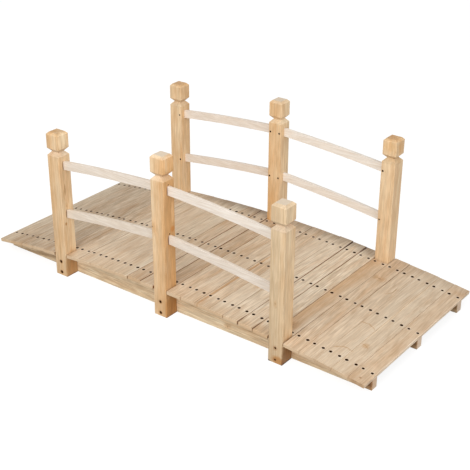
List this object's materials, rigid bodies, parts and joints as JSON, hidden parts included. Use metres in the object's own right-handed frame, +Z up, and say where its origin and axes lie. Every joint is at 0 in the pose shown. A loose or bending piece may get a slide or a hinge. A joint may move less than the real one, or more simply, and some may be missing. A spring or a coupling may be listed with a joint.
{
  "type": "small arched wooden garden bridge with railings",
  "caption": "Low arched garden bridge of untreated softwood: cross boards on bowed stringers, square grooved posts and slender bowed rails along each side.",
  "frame": {"origin": "on the ground under the middle of the deck, at the centre of the footprint", "axes": "+X along the walkway, +Y across it, +Z up"},
  "size_m": [1.4998, 0.67, 0.55],
  "materials": {
    "deck_timber": "planed, untreated softwood",
    "stringer_timber": "planed, untreated softwood",
    "post_timber": "planed, untreated softwood",
    "rail_timber": "planed, untreated softwood"
  },
  "bodies": {
    "root": {"deck_board_01": "deck_timber", "deck_board_02": "deck_timber", "deck_board_03": "deck_timber", "deck_board_04": "deck_timber", "deck_board_05": "deck_timber", "deck_board_06": "deck_timber", "deck_board_07": "deck_timber", "deck_board_08": "deck_timber", "deck_board_09": "deck_timber", "deck_board_10": "deck_timber", "deck_board_11": "deck_timber", "deck_board_12": "deck_timber", "deck_board_13": "deck_timber", "deck_board_14": "deck_timber", "deck_board_15": "deck_timber", "deck_board_16": "deck_timber", "deck_board_17": "deck_timber", "deck_board_18": "deck_timber", "deck_board_19": "deck_timber", "deck_board_20": "deck_timber", "deck_board_21": "deck_timber", "deck_board_22": "deck_timber", "deck_board_23": "deck_timber", "deck_board_24": "deck_timber", "deck_board_25": "deck_timber", "deck_board_26": "deck_timber", "deck_board_27": "deck_timber", "stringer_near": "stringer_timber", "stringer_centre": "stringer_timber", "stringer_far": "stringer_timber", "post_near_left": "post_timber", "post_near_middle": "post_timber", "post_near_right": "post_timber", "post_far_left": "post_timber", "post_far_middle": "post_timber", "post_far_right": "post_timber", "upper_rail_near_left": "rail_timber", "upper_rail_near_right": "rail_timber", "upper_rail_far_left": "rail_timber", "upper_rail_far_right": "rail_timber", "lower_rail_near_left": "rail_timber", "lower_rail_near_right": "rail_timber", "lower_rail_far_left": "rail_timber", "lower_rail_far_right": "rail_timber"}
  },
  "joints": []
}
